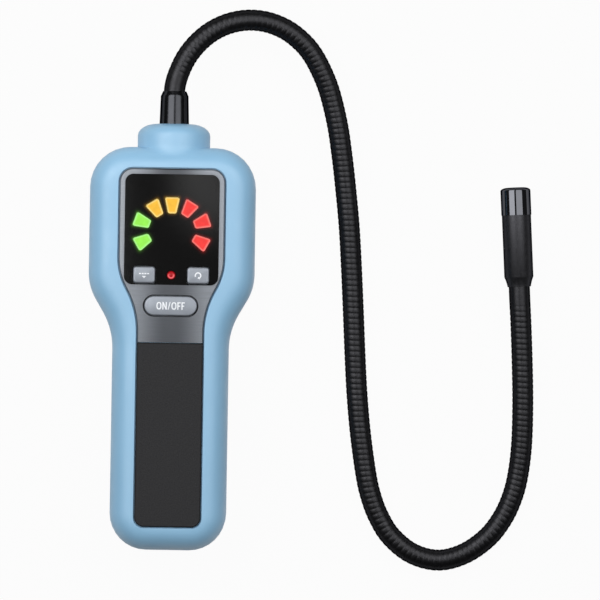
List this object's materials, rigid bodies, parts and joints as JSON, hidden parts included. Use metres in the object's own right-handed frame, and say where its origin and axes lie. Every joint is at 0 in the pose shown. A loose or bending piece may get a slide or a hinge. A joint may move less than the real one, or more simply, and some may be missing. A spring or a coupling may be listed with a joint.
{
  "type": "refrigerant leak detector",
  "caption": "Hand-held refrigerant leak detector: paddle-shaped handset with a bar display, push buttons and grip pad, and a sensor probe on a bendable gooseneck.",
  "frame": {"origin": "on the handset's back, on its centreline, halfway between its base and the collar's top", "axes": "+X to the right of the face, +Y along the handset towards the neck, +Z out of the face"},
  "size_m": [0.1833, 0.2295, 0.0369],
  "materials": {
    "shell_blue": "pale blue moulded plastic, satin",
    "panel_gunmetal": "gunmetal grey, satin metallic",
    "window_black": "black tinted window, gloss",
    "pad_black": "black fine-textured grip",
    "light_green": "green lit light guide",
    "light_amber": "amber lit light guide",
    "light_red": "red lit light guide",
    "lamp_red": "clear red dome lamp",
    "button_silver": "silver painted plastic, satin",
    "board_green": "green circuit board",
    "screw_steel": "plain steel",
    "inner_black": "black moulded plastic",
    "chip_white": "pale resin lamp chips",
    "battery_jacket": "printed metal jacket, plain",
    "ferrule_black": "black anodised, semi-gloss",
    "neck_black": "black corrugated neck, semi-matte",
    "sleeve_black": "black matte sleeve",
    "cap_black": "black gloss cap",
    "sensor_metal": "plain metal can",
    "filter_bronze": "porous sintered bronze"
  },
  "bodies": {
    "handset": {"front_shell": "shell_blue", "rear_shell": "shell_blue", "control_panel": "panel_gunmetal", "display_window": "window_black", "grip_pad": "pad_black", "light_guides_green": "light_green", "light_guides_amber": "light_amber", "light_guides_red": "light_red", "indicator_led": "lamp_red", "circuit_board": "board_green", "board_screws": "screw_steel", "tact_switches": "inner_black", "led_chips": "chip_white", "buzzer": "inner_black", "battery_block": "battery_jacket", "battery_connector": "inner_black", "case_screws": "screw_steel", "neck_ferrule": "ferrule_black", "ferrule_nut": "screw_steel", "gooseneck": "neck_black"},
    "power_key": {"power_button": "button_silver"},
    "left_key": {"left_button": "button_silver"},
    "right_key": {"right_button": "button_silver"},
    "door": {"battery_door": "shell_blue"},
    "probe": {"probe_sleeve": "sleeve_black", "probe_cap": "cap_black", "sensor_element": "sensor_metal", "sensor_filter": "filter_bronze"}
  },
  "joints": [
    {"name": "power_press", "type": "slide", "parent": "handset", "child": "power_key", "axis": [0, 0, -1], "range_m": [0, 0.0008], "stiffness_N_per_m": 600, "springref_m": -0.001},
    {"name": "left_press", "type": "slide", "parent": "handset", "child": "left_key", "axis": [0, 0, -1], "range_m": [0, 0.0008], "stiffness_N_per_m": 400, "springref_m": -0.001},
    {"name": "right_press", "type": "slide", "parent": "handset", "child": "right_key", "axis": [0, 0, -1], "range_m": [0, 0.0008], "stiffness_N_per_m": 400, "springref_m": -0.001},
    {"name": "door_slide", "type": "slide", "parent": "handset", "child": "door", "axis": [0, -1, 0], "range_m": [0, 0.055]},
    {"name": "neck_bend", "type": "hinge", "parent": "handset", "child": "probe", "pos_m": [0.1113, -0.0903, 0.00455], "axis": [0, 0, 1], "range_deg": [-25, 18], "deforming": ["gooseneck"]}
  ]
}
